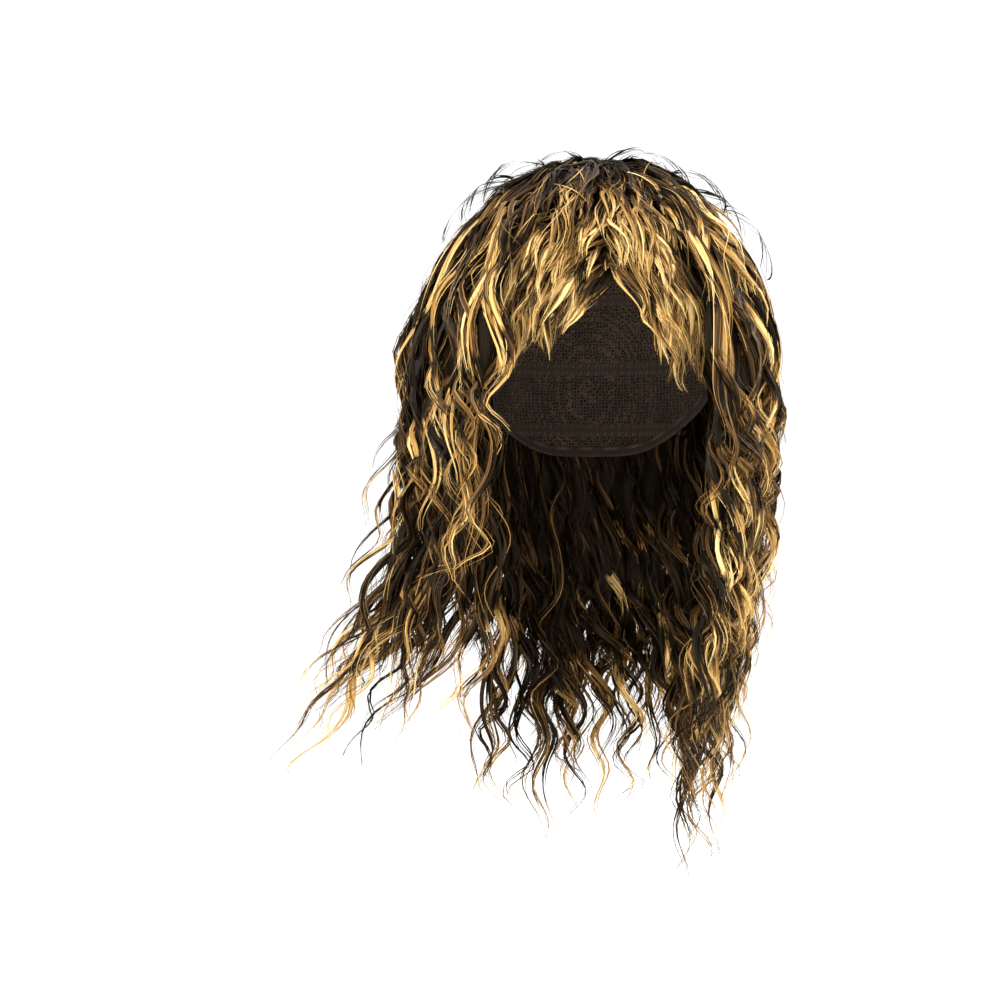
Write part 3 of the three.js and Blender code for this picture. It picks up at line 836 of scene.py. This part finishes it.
def cap_stitches():
    """The thread of the tapes' slanted stitches, and of the binding's."""
    sheets = Sheets()
    for weft in WEFTS:
        arc = float(quarter_arc((weft["start"] + weft["end"]) / 2))
        radius = HALF_DEPTH * math.sin(math.radians(min(90, weft["polar"])))
        length = radius * math.radians(weft["end"] - weft["start"])
        count = max(12, round(length / STITCH_PITCH))
        place = (np.arange(count) + 0.5) / count
        azimuth = mix(weft["start"], weft["end"], place)
        slant = STITCH_SLANT * (weft["end"] - weft["start"]) / count
        for row in STITCH_ROWS:
            middle = weft["polar"] + 90 / arc * TAPE_HALF_HEIGHT * row
            stitch_row(sheets, azimuth, middle, slant, 90 / arc * STITCH_HALF_LENGTH, TAPE_LIFT - 0.0005)
    azimuth = np.linspace(0, 360, BINDING_STITCHES, endpoint=False)
    middle = edge_polar(azimuth) - 90 / quarter_arc(azimuth) * BINDING_HALF_HEIGHT * BINDING_STITCH_PLACE
    reach = 90 / quarter_arc(azimuth) * STITCH_HALF_LENGTH
    lift = CAP_WALL / 2 - BINDING_HALF_THICKNESS - 0.0001
    stitch_row(sheets, azimuth, middle, STITCH_SLANT, reach, lift)
    return sheets.mesh("cap_stitches")


def stitch_row(sheets, azimuth, middle, slant, reach, lift):
    """A row of stitches, each one a short flat thread that leans over."""
    ends = np.array([-1, 0, 1])[None, :]
    lean = azimuth[:, None] + slant * ends
    polar = (middle + 0 * azimuth)[:, None] + ends * np.reshape(reach + 0 * azimuth, (-1, 1))
    raised = lift - STITCH_RISE * (1 - np.abs(ends))

    # Half the thread's width in degrees of azimuth
    half = THREAD_HALF_WIDTH / HALF_DEPTH * 57.3
    grid = np.stack([over_head(lean - half, polar, raised), over_head(lean + half, polar, raised)], axis=2)
    tone = np.linspace(0.02, 0.98, len(azimuth))[:, None, None] + np.zeros(grid.shape[:3])
    streak = np.array([0.1, 0.9]) + np.zeros(grid.shape[:3])
    sheets.add(grid, tone, streak)


def net_material():
    """A knitted stretch net: threads round small cells, with the mesh seen as raised threads."""
    material, tree, shader = new_material("cap_net")
    place = node(tree, "ShaderNodeTexCoord")
    cells = node(tree, "ShaderNodeTexVoronoi", feature="DISTANCE_TO_EDGE")
    cells.inputs["Scale"].default_value = 480
    cells.inputs["Randomness"].default_value = 0.55
    tree.links.new(place.outputs["Object"], cells.inputs["Vector"])
    cloud = node(tree, "ShaderNodeTexNoise")
    cloud.inputs["Scale"].default_value = 60
    tree.links.new(place.outputs["Object"], cloud.inputs["Vector"])
    thread = range_node(tree, cells.outputs["Distance"], 0.05, 0.22, 1, 0)
    shade = node(tree, "ShaderNodeMath", operation="MULTIPLY")
    tree.links.new(thread, shade.inputs[0])
    tree.links.new(range_node(tree, cloud.outputs["Fac"], 0.3, 0.7, 0.6, 1), shade.inputs[1])
    ramp = ramp_node(tree, ((0, (0.012, 0.009, 0.006)), (0.5, (0.065, 0.045, 0.030)),
                            (1, (0.150, 0.105, 0.070))))
    tree.links.new(shade.outputs[0], ramp.inputs["Fac"])
    tree.links.new(ramp.outputs["Color"], shader.inputs["Base Color"])
    add_bump(tree, shader, thread, 0.6, 0.0006)
    shader.inputs["Roughness"].default_value = 0.85
    shader.inputs["Specular IOR Level"].default_value = 0.25
    return material


def woven_material(name, threads, low, high):
    """Ribbed elastic, tape or twisted thread: fine ribs across its length, with painted shade in the
    grooves.
    """
    material, tree, shader = new_material(name)
    uv = node(tree, "ShaderNodeUVMap", uv_map="OFBake")
    wave = node(tree, "ShaderNodeTexWave", wave_type="BANDS", bands_direction="X")
    wave.inputs["Scale"].default_value = threads
    wave.inputs["Distortion"].default_value = 0.6
    tree.links.new(uv.outputs["UV"], wave.inputs["Vector"])
    # The ramp's first colour is painted shade in the grooves between the ribs, the second the ribs' own
    # colour
    ramp = ramp_node(tree, ((0, low), (1, high)))
    tree.links.new(wave.outputs["Fac"], ramp.inputs["Fac"])
    tree.links.new(ramp.outputs["Color"], shader.inputs["Base Color"])
    add_bump(tree, shader, wave.outputs["Fac"], 0.5, 0.0003)
    shader.inputs["Roughness"].default_value = 0.8
    shader.inputs["Specular IOR Level"].default_value = 0.25
    return material


def add_bump(tree, shader, height, strength, distance):
    bump = node(tree, "ShaderNodeBump")
    bump.inputs["Strength"].default_value = strength
    bump.inputs["Distance"].default_value = distance
    tree.links.new(height, bump.inputs["Height"])
    tree.links.new(bump.outputs["Normal"], shader.inputs["Normal"])


def cap_pieces():
    # Each woven material's first colour is the painted shade in its grooves
    for mesh, material in (
        (cap_net(), net_material()),
        (cap_binding(), woven_material("cap_elastic", 110, (0.020, 0.014, 0.010), (0.075, 0.052, 0.036))),
        (cap_tapes(), woven_material("cap_tape", 40, (0.028, 0.019, 0.013), (0.095, 0.066, 0.045))),
        (cap_stitches(), woven_material("cap_thread", 9, (0.090, 0.062, 0.038), (0.270, 0.190, 0.120))),
    ):
        mesh.materials.append(material)
        place_piece(mesh, "cap")


def place_piece(mesh, node_name):
    piece = bpy.data.objects.new(mesh.name, mesh)
    bpy.context.scene.collection.objects.link(piece)
    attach(piece, "root")
    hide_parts(node_name)


def studio():
    """A pale round floor that curves up into a wall all round, soft lights and a pale surround."""
    low = cad_box[0].z - FLOOR_GAP
    flat, bend, wall, turns = 1.9, 2.2, 3.4, 96
    profile = [(0.001, low), (flat, low)]
    profile += [(flat + bend * math.sin(a), low + bend * (1 - math.cos(a)))
                for a in np.linspace(0.1, math.pi / 2, 14)]
    profile.append((flat + bend, low + wall))
    points = [(radius * math.cos(turn), radius * math.sin(turn), height) for radius, height in profile
              for turn in np.linspace(0, 2 * math.pi, turns, endpoint=False)]
    faces = [(i * turns + j, i * turns + (j + 1) % turns, (i + 1) * turns + (j + 1) % turns,
              (i + 1) * turns + j) for i in range(len(profile) - 1) for j in range(turns)]
    mesh = bpy.data.meshes.new("studio_floor")
    mesh.from_pydata(points, [], faces)
    mesh.polygons.foreach_set("use_smooth", [True] * len(faces))
    pale, tree, shader = new_material("studio_floor")
    shader.inputs["Base Color"].default_value = (0.80, 0.80, 0.80, 1)
    shader.inputs["Roughness"].default_value = 0.9
    shader.inputs["Emission Color"].default_value = (1, 1, 1, 1)
    shader.inputs["Emission Strength"].default_value = 0.22
    mesh.materials.append(pale)
    floor = bpy.data.objects.new("studio_floor", mesh)
    bpy.context.scene.collection.objects.link(floor)
    world = bpy.data.worlds.new("studio")
    world.use_nodes = True
    world.node_tree.nodes["Background"].inputs["Color"].default_value = (1.0, 1.0, 1.0, 1)
    world.node_tree.nodes["Background"].inputs["Strength"].default_value = 0.90
    bpy.context.scene.world = world
    aim = Vector((-0.03, 0, -0.15))
    for name, place, size, power in (
        ("key", (-0.9, -1.5, 1.1), 0.8, 40),
        ("fill", (1.4, -1.2, 0.3), 1.2, 13),
        ("top", (0.2, 0.3, 1.5), 1.2, 10),
        ("rim", (1.1, 1.2, 0.7), 0.8, 14),
    ):
        light = bpy.data.lights.new(name, "AREA")
        light.size = size
        light.energy = power
        lamp = bpy.data.objects.new(name, light)
        lamp.location = place
        lamp.rotation_euler = (aim - Vector(place)).to_track_quat("-Z", "Y").to_euler()
        bpy.context.scene.collection.objects.link(lamp)


def photo_camera():
    """Straight at the face, as the photograph looks at the worn wig."""
    camera = bpy.data.cameras.new("camera")
    camera.sensor_width = 36
    camera.lens = 86
    view = bpy.data.objects.new("camera", camera)
    view.location = (-0.061, -1.52, -0.181)
    view.rotation_euler = (math.radians(90), 0, 0)
    bpy.context.scene.collection.objects.link(view)
    bpy.context.scene.camera = view


cap_pieces()
hair_pieces()
studio()
photo_camera()
bpy.context.scene.view_settings.view_transform = "Standard"
